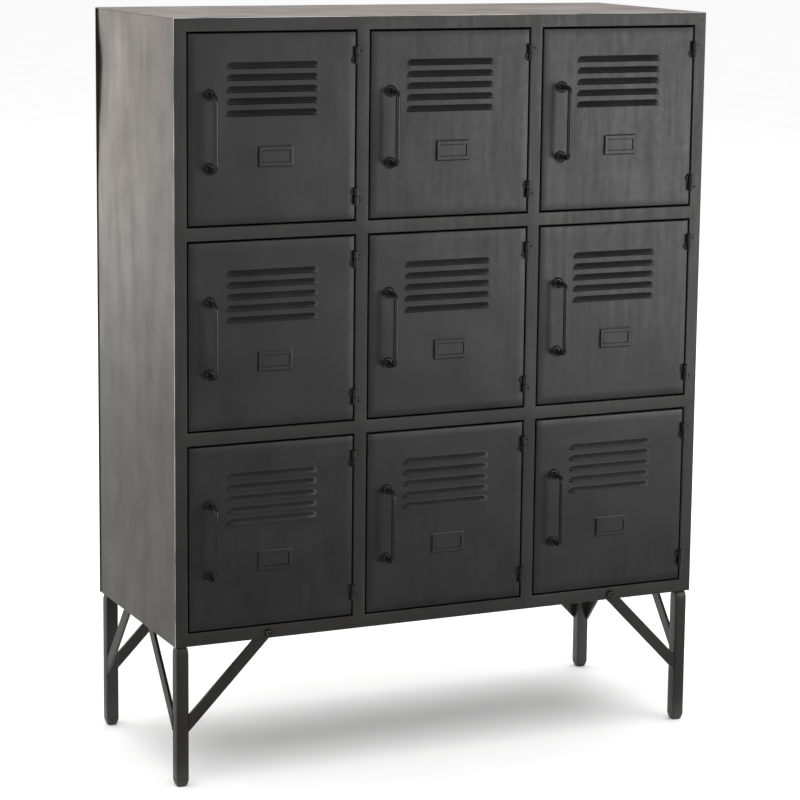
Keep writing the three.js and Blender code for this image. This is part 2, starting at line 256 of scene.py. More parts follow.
def grid_sheet(us, vs, point_at, keep=lambda i, j: True):
    points = [point_at(u, v) for v in vs for u in us]
    wide = len(us)
    faces = [(j * wide + i, j * wide + i + 1, (j + 1) * wide + i + 1, (j + 1) * wide + i)
             for j in range(len(vs) - 1) for i in range(wide - 1) if keep(i, j)]
    return points, faces


def folded_edges(us, vs, fold, point_at):
    """Rings round a sheet's border. A fold lists how far outward and how far back each ring lies."""
    border = ([(u, vs[0]) for u in us[:-1]] + [(us[-1], v) for v in vs[:-1]]
              + [(u, vs[-1]) for u in us[:0:-1]] + [(us[0], v) for v in vs[:0:-1]])
    rings = [[point_at(u + out * ((u == us[-1]) - (u == us[0])),
                       v + out * ((v == vs[-1]) - (v == vs[0])), back) for u, v in border]
             for out, back in fold]
    return loft(rings, False, False)


def evenly(start, end, count):
    return [start + (end - start) * i / count for i in range(count + 1)]


def smooth(t):
    """Rises gently from 0 to 1 as t does, and stays there outside."""
    t = min(1, max(0, t))
    return t * t * (3 - 2 * t)


print("a fold goes round", round(FOLD / MM, 1), "mm in", FOLD_STEPS, "steps")

# %% [markdown]
# ## One function for all nodes
#
# Materials and Geometry Nodes are both trees of nodes. `add_node` makes a node, sets its options, and
# fills its inputs: a plain value is typed into the socket, and another node's socket is linked to it.

# %% One function for all nodes
def add_node(tree, kind, inputs=None, **settings):
    made = tree.nodes.new(kind)
    for name, value in settings.items():
        setattr(made, name, value)
    for name, value in (inputs or {}).items():
        if isinstance(value, bpy.types.NodeSocket):
            tree.links.new(value, made.inputs[name])
        else:
            made.inputs[name].default_value = value
    return made


def linear(hex_colour):
    """An sRGB colour such as "3b3b3c" as the linear values that a shader works with."""
    channels = [int(hex_colour[i:i + 2], 16) / 255 for i in (0, 2, 4)]
    return [c / 12.92 if c <= 0.04045 else ((c + 0.055) / 1.055) ** 2.4 for c in channels] + [1.0]


# %% [markdown]
# ## Painted steel
#
# The whole cabinet is sprayed satin black. Close up, such paint isn't even: it has a fine orange peel
# from the spray gun, cloudy patches where the coat is thicker, and faint streaks from wiping. A painted
# image would have to be unwrapped over every fold, so the patterns are noise in space instead. They are
# sized in millimetres and follow the piece, so they stay put when a door swings.
#
# `mm_noise` is a cloud pattern whose blobs are about the given number of millimetres across. A streak
# is the same pattern squeezed along one direction.

# %% Painted steel
CLOUD_SIZE = 70           # mm across, where a pass of the spray gun laid more paint
GRAIN_SIZE = 1.1          # mm, the pimples of the orange peel
DUST_SIZE = 2.6           # mm, drawn coarser than real dust so that it shows at all
DUST_COLOUR = "6c6a67"


def mm_noise(tree, size, stretch=(1, 1, 1), detail=3.0):
    place = add_node(tree, "ShaderNodeTexCoord").outputs["Object"]
    scale = [1 / (size * MM * s) for s in stretch]
    squeezed = add_node(tree, "ShaderNodeMapping", {"Vector": place, "Scale": scale}).outputs[0]
    return add_node(tree, "ShaderNodeTexNoise",
                    {"Vector": squeezed, "Scale": 1.0, "Detail": detail}).outputs[0]


def spread(tree, value, low, high, out_low, out_high):
    return add_node(tree, "ShaderNodeMapRange", {
        "Value": value, "From Min": low, "From Max": high,
        "To Min": out_low, "To Max": out_high}).outputs[0]


def painted(name, thin, thick, rough, blotch=14, streak=9, wiped=(1, 1, 12), peel=0.012):
    """Sprayed paint: thin and thick are its two colours, rough its smoothest and dullest finish.

    Blotch and streak are the sizes of its patches and wiping marks in millimetres, and wiped is the
    way the marks run. Peel is the height of the orange peel, also in millimetres.
    """
    material = bpy.data.materials.new(name)
    material.use_nodes = True
    tree = material.node_tree
    tree.nodes.clear()
    clouds = mm_noise(tree, CLOUD_SIZE)
    patches = mm_noise(tree, blotch, detail=5)
    streaks = mm_noise(tree, streak, wiped)
    grain = mm_noise(tree, GRAIN_SIZE, detail=2)
    specks = mm_noise(tree, DUST_SIZE, detail=1)
    coat = add_node(tree, "ShaderNodeMix", {
        0: spread(tree, clouds, 0.3, 0.7, 0, 1), 6: linear(thin), 7: linear(thick)},
        data_type="RGBA").outputs[2]
    dusty = add_node(tree, "ShaderNodeMix", {
        0: spread(tree, specks, 0.74, 0.80, 0, 0.35), 6: coat, 7: linear(DUST_COLOUR)},
        data_type="RGBA").outputs[2]
    mixed = add_node(tree, "ShaderNodeMath", {
        0: spread(tree, streaks, 0.3, 0.7, 0, 0.6), 1: spread(tree, patches, 0.3, 0.7, 0, 0.4)},
        operation="ADD").outputs[0]
    waves = add_node(tree, "ShaderNodeBump", {
        "Height": patches, "Strength": 1.0, "Distance": peel * 4 * MM}).outputs[0]
    skin = add_node(tree, "ShaderNodeBump", {
        "Height": grain, "Strength": 1.0, "Distance": peel * MM, "Normal": waves}).outputs[0]
    shader = add_node(tree, "ShaderNodeBsdfPrincipled", {
        "Base Color": dusty, "Roughness": spread(tree, mixed, 0, 1, *rough),
        "IOR": 1.5, "Normal": skin})
    add_node(tree, "ShaderNodeOutputMaterial", {"Surface": shader.outputs[0]})
    return material


frame_paint = painted("satin black paint on the frame", "1e1c1b", "161413", (0.32, 0.46))
door_paint = painted("satin black paint on the doors", "1a1a1b", "111112", (0.29, 0.42))
# The sides' tone, warmer and lighter than the doors', is painted warm light; the upright streaks are
# wiping.
side_paint_and_warm_light = painted("satin black paint on the sides, wiped", "2e2a26", "211e1b", (0.25, 0.40),
                     blotch=70, streak=34, wiped=(1, 1, 4))
# The top's lighter, warmer brown is painted light from above; the streaks across it are rubbing.
top_paint_and_light = painted("satin black paint on the top, rubbed", "5e4c40", "43362e", (0.28, 0.50),
                    blotch=90, streak=22, wiped=(9, 1, 1))
inner_paint = painted("thin black paint inside", "262626", "1b1b1b", (0.45, 0.62))
pull_paint = painted("semi-gloss black paint on the pulls", "191919", "121212", (0.22, 0.32),
                     peel=0.006)
# A pale grey for the folds that catch the light: a painted highlight, not worn paint.
painted_fold_highlight = painted("paint rubbed thin along an edge", "b8b6b2", "6f6e6b", (0.30, 0.45),
                      blotch=5, streak=3)
print("paints so far, with the frame's own:", len(bpy.data.materials))

# %% [markdown]
# ## The other materials
#
# The bolts are blackened steel, the nuts inside are zinc plated, and the feet are moulded plastic. The
# small bumpers behind the doors are rubber, and the bolts' washers are the same rubber, whose near-black
# there is painted shade for the dark gap round each head. Where a tack weld was burnt and ground down,
# the paint is dull and nearly black. Bare metal keeps the shader's usual index of refraction, and only
# its colour and roughness are set.

# %% The other materials
def plain_finish(name, dark, light, rough, size, metallic=0.0, bump=0.02):
    material = bpy.data.materials.new(name)
    material.use_nodes = True
    tree = material.node_tree
    tree.nodes.clear()
    clouds = mm_noise(tree, size, detail=4)
    grain = mm_noise(tree, size / 8, detail=2)
    colour = add_node(tree, "ShaderNodeMix", {
        0: spread(tree, clouds, 0.3, 0.7, 0, 1), 6: linear(dark), 7: linear(light)},
        data_type="RGBA").outputs[2]
    skin = add_node(tree, "ShaderNodeBump", {
        "Height": grain, "Strength": 1.0, "Distance": bump * MM}).outputs[0]
    shader = add_node(tree, "ShaderNodeBsdfPrincipled", {
        "Base Color": colour, "Roughness": spread(tree, grain, 0.3, 0.7, *rough),
        "Metallic": metallic, "Normal": skin})
    add_node(tree, "ShaderNodeOutputMaterial", {"Surface": shader.outputs[0]})
    return material


black_oxide = plain_finish("black oxide steel", "4a4844", "605d57", (0.20, 0.34), 6, metallic=1.0)
zinc = plain_finish("zinc plated steel", "9a9a94", "b5b4ab", (0.25, 0.42), 5, metallic=1.0)
foot_plastic = plain_finish("moulded black plastic", "1a1817", "201e1c", (0.40, 0.54), 12)
# On the bolts' washers this near-black is painted shade, the dark gap round each bolt's head.
rubber_and_washer_shade = plain_finish("black rubber", "0c0c0c", "131312", (0.75, 0.9), 5)
scorched = plain_finish("paint scorched beside a tack weld", "0b0a09", "171513", (0.7, 0.9), 3)
print("materials in all:", len(bpy.data.materials))

# %% [markdown]
# ## The face frame
#
# The front is a lattice of folded bars, welded into one frame. Each bar shows a flat face with small
# round folds where the sheet turns back into the nine openings. We lay out the flat face first, then
# run a fold round every opening and round the outside, and last give the sheet its thickness. A block
# with nine holes would be quicker, but it would look solid as soon as a door is open.

# %% The face frame's lattice
FRAME_DEPTH = 20 * MM     # how far the returns reach back into each opening
PAINT_SKIN = 0.1 * MM     # drawn sheets are this much thinner, so that they clear the ones behind

columns = sorted({round(place["corner"].x, 6) for place in doors.values()})
rows = sorted({round(place["corner"].z, 6) for place in doors.values()})
edges_x = [-HALF] + [x for c in columns for x in (c, c + OPENING_W)] + [HALF]
edges_z = [BASE] + [z for r in rows for z in (r, r + OPENING_H)] + [TOP]


def fold_rings(x0, x1, z0, z1, sign, depth):
    """Rectangles from the flat face round a fold and straight back. Sign +1 folds towards the middle."""
    rings = []
    for along, back in QUARTER_FOLD + [(FOLD, depth)]:
        out = (FOLD - along) * sign
        a, b, c, d, y = x0 - out, x1 + out, z0 - out, z1 + out, FRONT + back
        rings.append([Vector((a, y, c)), Vector((b, y, c)), Vector((b, y, d)), Vector((a, y, d))])
    return rings


def lattice():
    flat_x = [x + FOLD * (1 if i % 2 == 0 else -1) for i, x in enumerate(edges_x)]
    flat_z = [z + FOLD * (1 if i % 2 == 0 else -1) for i, z in enumerate(edges_z)]
    bars = grid_sheet(flat_x, flat_z, lambda x, z: Vector((x, FRONT, z)),
                      keep=lambda i, j: not (i % 2 and j % 2))
    outside = fold_rings(-HALF, HALF, BASE, TOP, -1, FOLD + 0.01 * MM)
    shapes = [bars, loft(outside, False, False)]
    for place in doors.values():
        x, z = place["corner"].x, place["corner"].z
        opening = fold_rings(x, x + OPENING_W, z, z + OPENING_H, 1, FRAME_DEPTH)
        shapes.append(loft(opening, False, False))
    return together(shapes)


# %% [markdown]
# ## From thin surface to sheet metal
#
# A surface has no thickness. We could draw its other side too, but the Solidify modifier does that for
# us, evenly round every fold. It grows inwards, away from the side that we see. `as_plain_mesh` then
# bakes every modifier into an ordinary mesh, so that the piece can be exported without them.

# %% From thin surface to sheet metal
def as_plain_mesh(made, sharp=32):
    depsgraph = bpy.context.evaluated_depsgraph_get()
    plain = bpy.data.meshes.new_from_object(made.evaluated_get(depsgraph))
    made.modifiers.clear()
    made.data = plain
    plain.name = made.name
    finish_mesh(plain, sharp)
    return made


def thicken(made, thickness, sharp=32):
    solidify = made.modifiers.new("sheet thickness", "SOLIDIFY")
    solidify.thickness = thickness
    solidify.offset = -1
    solidify.use_even_offset = True
    return as_plain_mesh(made, sharp)


face_frame = make_object("face_frame", lattice(), frame_paint)
outward(face_frame, 1, -1)
thicken(face_frame, FRAME_SHEET - PAINT_SKIN)

# A pale paint on the left and upper folds is a painted highlight, where they catch the light.
face_frame.data.materials.append(painted_fold_highlight)
for face in face_frame.data.polygons:
    out_left = -face.normal.x * (face.center.x < -HALF + FOLD)
    out_up = face.normal.z * (face.center.z > TOP - FOLD)
    if -0.85 < face.normal.y < -0.3 and max(out_left, out_up) > 0.5:
        face.material_index = 1
print("face frame:", len(face_frame.data.polygons), "faces")

# %% [markdown]
# ## Hinges
#
# The hinges are the weld-on kind: a round barrel in two halves, each with a small round-ended tab
# welded flat on the face. The outer half belongs to the frame and carries the pin. The inner half
# belongs to the door and turns on the pin. Both are drawn about the hinge axis, so the same shapes serve
# all nine doors. A lathe profile gives the barrel its chamfers and a true bore without any cutting.

# %% Hinges
KNUCKLE_R = 4 * MM        # radius of the barrel
KNUCKLE_L = 14.7 * MM     # length of each half
AXIS_TO_FACE = KNUCKLE_R + FIT
HINGE_INSET = 42 * MM     # from the opening's upper or lower edge to the middle of a hinge
PIN_R = 2 * MM
BORE_R = 2.2 * MM
BARREL_SIDES = 28
TAB = {"thick": 1.8 * MM, "half": 5.5 * MM, "door": 9.5 * MM, "frame": 12 * MM}


def barrel(z, bore, cap=None):
    """Half a hinge barrel about the axis, its ends chamfered. Cap +1 or -1 domes that end."""
    half, edge = KNUCKLE_L / 2 - FIT / 2, 0.5 * MM
    low, high = z - half, z + half
    outside = [(KNUCKLE_R - edge, low), (KNUCKLE_R, low + edge), (KNUCKLE_R, high - edge),
               (KNUCKLE_R - edge, high)]
    shoulder, crown, centre = KNUCKLE_R - 0.4 * MM, KNUCKLE_R - 1.4 * MM, 0.3 * MM
    if cap == 1:
        outside[-1:] = [(shoulder, high - 0.3 * MM), (crown, high), (centre, high)]
    if cap == -1:
        outside[:1] = [(centre, low), (crown, low), (shoulder, low + 0.3 * MM)]
    if not bore:
        return lathe(outside, "Z", BARREL_SIDES)
    hollow = outside + [(bore, high), (bore, low), outside[0]]
    points, faces = lathe(hollow, "Z", BARREL_SIDES)
    return points, faces[:-2]


def tab(side, reach, z):
    """A flat tab with a round end, reaching from the axis to the right (side +1) or the left (-1)."""
    half = TAB["half"]
    outline = [(0, -half)]
    outline += [(reach - half + half * math.sin(t), -half * math.cos(t))
                for t in (math.pi * i / 12 for i in range(13))]
    outline += [(0, half)]
    shape = plate(outline, AXIS_TO_FACE - TAB["thick"], AXIS_TO_FACE + 0.1 * MM, 0.35 * MM)
    return moved(mirrored(shape, side), (0, 0, z))


def hinge_heights():
    """For each hinge: which way is outward, and the middle heights of its frame and door halves."""
    upper, lower = OPENING_H - HINGE_INSET, HINGE_INSET
    return [(1, upper + KNUCKLE_L / 2, upper - KNUCKLE_L / 2),
            (-1, lower - KNUCKLE_L / 2, lower + KNUCKLE_L / 2)]


def fixed_halves():
    shapes = []
    for away, z, door_z in hinge_heights():
        near, far = sorted((z, door_z - away * KNUCKLE_L / 2 * 0.9))
        tip = 0.5 * MM
        pin = [(PIN_R - tip, near), (PIN_R, near + tip), (PIN_R, far - tip), (PIN_R - tip, far)]
        shapes += [barrel(z, None, away), lathe(pin, "Z", 16), tab(1, TAB["frame"], z)]
    return together(shapes)


def moving_halves():
    return together([s for _, _, z in hinge_heights()
                     for s in (barrel(z, BORE_R), tab(-1, TAB["door"], z))])


def from_axis(place):
    """The origin of a shape drawn about the hinge axis, whose heights start at the opening's edge."""
    return Vector((place["axis"].x, place["axis"].y, place["corner"].z))


fixed = together([moved(fixed_halves(), from_axis(p)) for p in doors.values()])
hinges_on_frame = make_object("hinge_halves_on_frame", fixed, frame_paint)
for name, place in doors.items():
    shape = moved(moving_halves(), from_axis(place))
    place["hinges"] = make_object(f"hinge_halves_{name}", shape, door_paint)
print("hinges:", len(doors) * len(hinge_heights()))

# %% [markdown]
# ## The door's sheet
#
# A door starts as a flat sheet whose four edges are folded back to make a tray. We draw it with lines
# that are close together where the louvres will be pressed, and wide apart elsewhere, so that the fine
# shape gets enough points and the plain areas stay light.
#
# Each point also remembers how slack the sheet is there: nothing at the folded edges, which hold it
# stiff, and most in the middle, where a thin sheet is never quite flat. An evenly subdivided plane would
# do as well, but with many more points for the same louvres.

# %% The door's sheet
DOOR_DEPTH = 15 * MM      # the tray's folded edges
PLAIN_STEP = 14 * MM      # the widest gap between two lines
SLACK_REACH = 45 * MM     # how far in from the edge the sheet is fully slack
LOUVRE = {"count": 5, "half": 82 * MM, "height": 11 * MM, "proud": 4.5 * MM, "lift": 1.3 * MM,
          "round": 9 * MM, "pitch": 19.6 * MM, "first": 59 * MM}
door_x0, door_x1 = DOOR_GAP / 2 - OPENING_W + DOOR_GAP, -DOOR_GAP / 2
door_z0, door_z1 = DOOR_GAP, OPENING_H - DOOR_GAP
door_middle = (door_x0 + door_x1) / 2
lips = [door_z1 - LOUVRE["first"] - i * LOUVRE["pitch"] for i in range(LOUVRE["count"])]


def sheet_lines(start, end, fine):
    """Lines from start to end: all the fine ones, and plain ones between them."""
    lines = sorted({round(v, 7) for v in [start, end] + [f for f in fine if start < f < end]})
    filled = [lines[0]]
    for line in lines[1:]:
        gap = line - filled[-1]
        parts = max(1, math.ceil(gap / PLAIN_STEP))
        filled += [filled[-1] + gap * k / parts for k in range(1, parts)] + [line]
    return filled


def door_sheet():
    # Distances in mm from a louvre's end and from its lip, close together where it curves most.
    ends = [0, 0.6, 1.3, 2.2, 3.2, 4.4, 5.8, 7.2, 8.4, -0.6]
    rises = [-0.6, 0, 0.9, 2, 3, 4.2, 5.6, 7, 8.2, 9.2, 10, 10.6, 11, 11.6]
    fine_x = [door_middle + side * (LOUVRE["half"] - d * MM) for side in (-1, 1) for d in ends]
    fine_z = [lip + d * MM for lip in lips for d in rises]
    xs = sheet_lines(door_x0 + FOLD, door_x1 - FOLD, fine_x)
    zs = sheet_lines(door_z0 + FOLD, door_z1 - FOLD, fine_z)
    flat = grid_sheet(xs, zs, lambda x, z: Vector((x, AXIS_TO_FACE, z)))
    edges = folded_edges(xs, zs, QUARTER_FOLD + [(FOLD, DOOR_DEPTH)],
                         lambda x, z, back: Vector((x, AXIS_TO_FACE + back, z)))
    return together([flat, edges])


def slackness(point):
    edge = min(point.x - door_x0, door_x1 - point.x, point.z - door_z0, door_z1 - point.z)
    return smooth(edge / SLACK_REACH) if point.y < AXIS_TO_FACE + 0.1 * MM else 0


flat_door = make_object("flat_door", door_sheet(), door_paint, sharp=50)
outward(flat_door, 1, -1)
slack = flat_door.data.attributes.new("slack", "FLOAT", "POINT")
slack.data.foreach_set("value", [slackness(v.co) for v in flat_door.data.vertices])
print("flat door:", len(flat_door.data.polygons), "faces")

# %% [markdown]
# ## Trees of Geometry Nodes
#
# What repeats or follows a rule is best left to Geometry Nodes. These helpers start a tree whose sizes
# are named inputs, run it on an object, and end it. Every tree ends by making its result real and by
# giving it its paint, so that what we bake is an ordinary painted mesh.

# %% A tree with named inputs
def node_group(name, inputs):
    tree = bpy.data.node_groups.new(name, "GeometryNodeTree")
    tree.interface.new_socket("Geometry", in_out="OUTPUT", socket_type="NodeSocketGeometry")
    for label, kind in inputs.items():
        tree.interface.new_socket(label, in_out="INPUT", socket_type="NodeSocket" + kind)
    given = tree.nodes.new("NodeGroupInput").outputs
    return tree, given, tree.nodes.new("NodeGroupOutput")


def run_group(made, tree, values):
    """Adds the tree as a modifier. An input is set by its socket's identifier, found by its name."""
    modifier = made.modifiers.new(tree.name, "NODES")
    modifier.node_group = tree
    for item in tree.interface.items_tree:
        if item.in_out == "INPUT" and item.name in values:
            modifier[item.identifier] = values[item.name]
    made.update_tag()


def end_tree(tree, geometry, material, result):
    """Makes the geometry real, paints it, and hands it to the tree's output."""
    real = add_node(tree, "GeometryNodeRealizeInstances", {"Geometry": geometry}).outputs[0]
    painted_over = add_node(tree, "GeometryNodeSetMaterial",
                            {"Geometry": real, "Material": material}).outputs[0]
    tree.links.new(painted_over, result.inputs[0])


def stored(tree, name, kind):
    """What each point or face of the mesh remembers under that name."""
    return add_node(tree, "GeometryNodeInputNamedAttribute", {"Name": name}, data_type=kind).outputs[0]


def maths(tree):
    def calc(operation, *values):
        return add_node(tree, "ShaderNodeMath", dict(enumerate(values)),
                        operation=operation).outputs[0]
    return calc


# %% [markdown]
# ## Pressing the louvres
#
# In a press, the die shears the sheet along each louvre's lower lip and pushes a hood out above the
# cut. We do the same with a rule, built as a tree of nodes. For any point of the sheet the tree works
# out which louvre it may belong to, how high it is above that louvre's lip, and how deep it is inside
# the hood's outline, whose upper corners are round. The deeper inside, the further out it is pushed.
#
# Split Edges makes the cut. A mark on the faces above each cut tells the two sides of it apart, so that
# only the upper side moves. A louvre could also be modelled once and joined into a hole, but its edge
# would then have to be sewn to the sheet 45 times. Pressing keeps each door one skin.

# %% The louvre press
def louvre_press():
    tree, given, result = node_group("louvre press", {
        "Geometry": "Geometry", "Middle": "Float", "Lowest lip": "Float", "Pitch": "Float",
        "Count": "Int", "Half width": "Float", "Height": "Float", "Proud": "Float",
        "Lift": "Float", "Corner": "Float", "Dents": "Float", "Dent seed": "Float", "Paint": "Material"})
    calc = maths(tree)
    place = add_node(tree, "GeometryNodeInputPosition").outputs[0]
    split = add_node(tree, "ShaderNodeSeparateXYZ", {0: place}).outputs
    up = calc("SUBTRACT", split[2], given["Lowest lip"])
    row = calc("FLOOR", calc("DIVIDE", calc("ADD", up, 0.05 * MM), given["Pitch"]))
    in_rows = calc("MULTIPLY", calc("GREATER_THAN", row, -0.5),
                   calc("LESS_THAN", row, calc("SUBTRACT", given["Count"], 0.5)))
    above_lip = calc("SUBTRACT", up, calc("MULTIPLY", row, given["Pitch"]))
    from_end = calc("SUBTRACT", given["Half width"],
                    calc("ABSOLUTE", calc("SUBTRACT", split[0], given["Middle"])))

    # The cut runs along the lip, between the hood's two ends.
    near_lip = calc("LESS_THAN", calc("ABSOLUTE", above_lip), 0.05 * MM)
    on_cut = calc("MULTIPLY", calc("MULTIPLY", near_lip, in_rows), calc("GREATER_THAN", from_end, 0))
    over_cut = calc("MULTIPLY", calc("LESS_THAN", above_lip, given["Height"]), in_rows)
    marked = add_node(tree, "GeometryNodeStoreNamedAttribute", {
        "Geometry": given["Geometry"], "Name": "hood", "Value": over_cut},
        data_type="FLOAT", domain="FACE").outputs[0]
    sheared = add_node(tree, "GeometryNodeSplitEdges", {"Mesh": marked, "Selection": on_cut}).outputs[0]

    # How deep a point is inside the outline with its round upper corners.
    straight = calc("SUBTRACT", given["Height"], given["Corner"])
    side = calc("MAXIMUM", calc("SUBTRACT", given["Corner"], from_end), 0.0)
    over = calc("MAXIMUM", calc("SUBTRACT", above_lip, straight), 0.0)
    corner_way = calc("SQRT", calc("ADD", calc("MULTIPLY", side, side), calc("MULTIPLY", over, over)))
    off_end = calc("MINIMUM", calc("DIVIDE", from_end, given["Corner"]), 1.0)
    below = calc("MULTIPLY", calc("MAXIMUM", calc("SUBTRACT", straight, above_lip), 0.0), off_end)
    inside = calc("ADD", calc("SUBTRACT", given["Corner"], corner_way), below)
    share = calc("MINIMUM", calc("MAXIMUM", calc("DIVIDE", inside, given["Height"]), 0.0), 1.0)

    # A hood is steepest at its upper edge and a little flatter at the lip, where it is fully proud.
    crown = 0.35
    bulge = calc("MULTIPLY", share, calc("SUBTRACT", 1 + crown, calc("MULTIPLY", share, crown)))
    hood = stored(tree, "hood", "FLOAT")
    moves = calc("MULTIPLY", calc("GREATER_THAN", hood, 0.3), in_rows)
    pushed = calc("MULTIPLY", calc("MULTIPLY", bulge, given["Proud"]), moves)

    # As the hood is drawn out its lip is pulled up a little, and a dark slit opens under it.
    toward_lip = calc("SUBTRACT", 1.0, calc("DIVIDE", above_lip, given["Height"]))
    at_lip = calc("MULTIPLY", calc("MULTIPLY", bulge, moves), toward_lip)
    drawn_up = calc("MULTIPLY", at_lip, given["Lift"])

    # Thin sheet is never quite flat: a slow noise, strongest where the sheet is slack.
    slack_here = stored(tree, "slack", "FLOAT")
    uneven = add_node(tree, "ShaderNodeTexNoise", {
        "Vector": place, "W": given["Dent seed"], "Scale": 7.0, "Detail": 1.0},
        noise_dimensions="4D").outputs[0]
    sag = calc("MULTIPLY", calc("MULTIPLY", calc("SUBTRACT", uneven, 0.5), given["Dents"]), slack_here)
    shift = add_node(tree, "ShaderNodeCombineXYZ",
                     {1: calc("SUBTRACT", sag, pushed), 2: drawn_up}).outputs[0]
    shaped = add_node(tree, "GeometryNodeSetPosition",
                      {"Geometry": sheared, "Offset": shift}).outputs[0]
    end_tree(tree, shaped, given["Paint"], result)
    return tree


# %% [markdown]
# ## Nine doors from one press
#
# Each door runs the same flat sheet through the press, with its own seed for the unevenness. After the
# press it gets its thickness and is carried to its opening.

# %% Nine doors from one press
DENT_DEPTH = 2.4 * MM     # the noise swings this far in all, so a door is within about 1 mm of flat
press = louvre_press()
for number, (name, place) in enumerate(doors.items()):
    door = bpy.data.objects.new(f"door_sheet_{name}", flat_door.data.copy())
    bpy.context.scene.collection.objects.link(door)
    run_group(door, press, {
        "Middle": door_middle, "Lowest lip": lips[-1], "Pitch": LOUVRE["pitch"],
        "Count": LOUVRE["count"], "Half width": LOUVRE["half"], "Height": LOUVRE["height"],
        "Proud": LOUVRE["proud"], "Lift": LOUVRE["lift"], "Corner": LOUVRE["round"],
        "Dents": DENT_DEPTH, "Dent seed": 3.7 * number, "Paint": door_paint})
    thicken(door, SHEET - PAINT_SKIN, sharp=38)
    door.data.transform(Matrix.Translation(from_axis(place)))
    place["sheet"] = door
bpy.data.objects.remove(flat_door)
print("one door:", len(door.data.polygons), "faces")

# %% [markdown]
# ## The pulls
#
# A pull is a piece of 8 mm round rod bent twice, with each end standing on a dished washer. Its ends
# are threaded and go through the door, where zinc plated nuts hold them. `swept_rod` carries a round
# section along the bent path. A curve with a round bevel would do the same, but it has to be turned into
# a mesh and closed at its ends, which a loft already is.

# %% The pulls
PULL = {"span": 121.5 * MM, "reach": 30.5 * MM, "radius": 4 * MM, "bend": 9.5 * MM,
        "inset": 36.5 * MM, "drop": 161.5 * MM}


def swept_rod(path, radius, segments=20):
    """Skins a path of (y, z) points, all at x = 0, with a round section."""
    rings = []
    for i, (y, z) in enumerate(path):
        before, after = path[max(i - 1, 0)], path[min(i + 1, len(path) - 1)]
        along = Vector((0, after[0] - before[0], after[1] - before[1])).normalized()
        aside = Vector((0, -along.z, along.y))
        sideways = Vector((1, 0, 0))
        rings.append([Vector((0, y, z)) + radius * (math.cos(t) * sideways + math.sin(t) * aside)
                      for t in (2 * math.pi * k / segments for k in range(segments))])
    return loft(rings)


def pull():
    half, bend, out = PULL["span"] / 2, PULL["bend"], -PULL["reach"]
    arc = [(out + bend - bend * math.sin(t), half - bend + bend * math.cos(t))
           for t in (math.pi / 2 * k / 10 for k in range(11))]
    upper = [(-0.3 * MM, half)] + arc
    straight = [(out, half * k) for k in (0.5, 0, -0.5)]
    lower = [(y, -z) for y, z in upper[::-1]]
    return swept_rod(upper + straight + lower, PULL["radius"])


def rosette():
    """A dished washer about the Y axis: rolled rim, hollow ring, and a collar round the rod."""
    rim = [(4.0, 0), (9.6, -0.3), (10.2, -0.9), (10.5, -1.5), (10.3, -2.1), (9.7, -2.4), (9.0, -2.3)]
    dish = [(8.2, -1.5), (7.2, -0.9), (6.2, -1.0)]
    collar = [(5.5, -1.9), (5.1, -2.9), (4.6, -3.3), (4.1, -3.2), (3.9, -2.9)]
    return lathe([(r * MM, y * MM) for r, y in rim + dish + collar], "Y", 36)


def nut():
    """A hexagon nut about the Y axis, with the end of the thread standing out of it."""
    sizes = [(3.0, 1.1), (5.2, 1.1), (5.6, 1.5), (5.6, 4.4), (5.2, 4.8),
             (2.4, 4.8), (2.0, 5.2), (2.0, 6.6), (1.4, 7.2)]
    return lathe([(r * MM, y * MM) for r, y in sizes], "Y", 24, {1: 6, 2: 6, 3: 6, 4: 6})


for name, place in doors.items():
    at = from_axis(place) + Vector((door_x0 + PULL["inset"], AXIS_TO_FACE, door_z1 - PULL["drop"]))
    ends = [(0, 0, PULL["span"] / 2), (0, 0, -PULL["span"] / 2)]
    shape = together([pull()] + [moved(rosette(), e) for e in ends])
    nuts = together([moved(nut(), e) for e in ends])
    place["pull"] = make_object(f"pull_{name}", moved(shape, at), pull_paint)
    place["nuts"] = make_object(f"pull_nuts_{name}", moved(nuts, at), zinc)
print("one pull:", len(place["pull"].data.polygons), "faces")

# %% [markdown]
# ## The card holders
#
# Each is one pressed piece of thin steel: a flat base, walls that stand up from it, a rim, and a
# pocket inside the rim where a name card lies. It is a loft of round-cornered rectangles, from the base
# up over the rim and down into the pocket. A bump in the paint could fake so low a shape, but it would
# cast no shadow and would look flat from the side.

# %% The card holders
HOLDER = {"shift": 4.5 * MM, "drop": 204 * MM}
# Each ring in mm: half width, half height, corner radius, height off the door, shift to the right.
base = [(32.2, 18.0, 1.5, 0.0, 0), (32.2, 18.0, 1.5, 0.2, 0), (32.0, 17.8, 1.5, 0.3, 0)]
walls = [(28.0, 14.8, 1.0, 0.4, 1.2), (27.7, 14.5, 1.0, 0.6, 1.4), (27.7, 14.5, 1.0, 2.6, 1.4)]
rim = [(29.2, 15.5, 1.0, 2.7, 0), (29.5, 15.8, 1.0, 2.9, 0), (29.5, 15.8, 1.0, 3.4, 0),
       (29.4, 15.7, 0.9, 3.5, 0), (25.7, 10.3, 0.6, 3.5, 0.3), (25.6, 10.2, 0.6, 3.4, 0.3)]
pocket = [(25.6, 10.2, 0.6, 1.0, 0.3), (24.8, 9.5, 0.5, 0.9, -0.3), (24.7, 9.4, 0.5, 2.7, -0.3),
          (24.5, 9.2, 0.5, 2.8, -0.3), (24.0, 8.7, 0.4, 2.8, -0.3)]


def card_holder():
    rings = [[Vector(((u + shift) * MM, -y * MM, v * MM)) for u, v in rounded_ring(w, h, r)]
             for w, h, r, y, shift in base + walls + rim + pocket]
    return loft(rings)


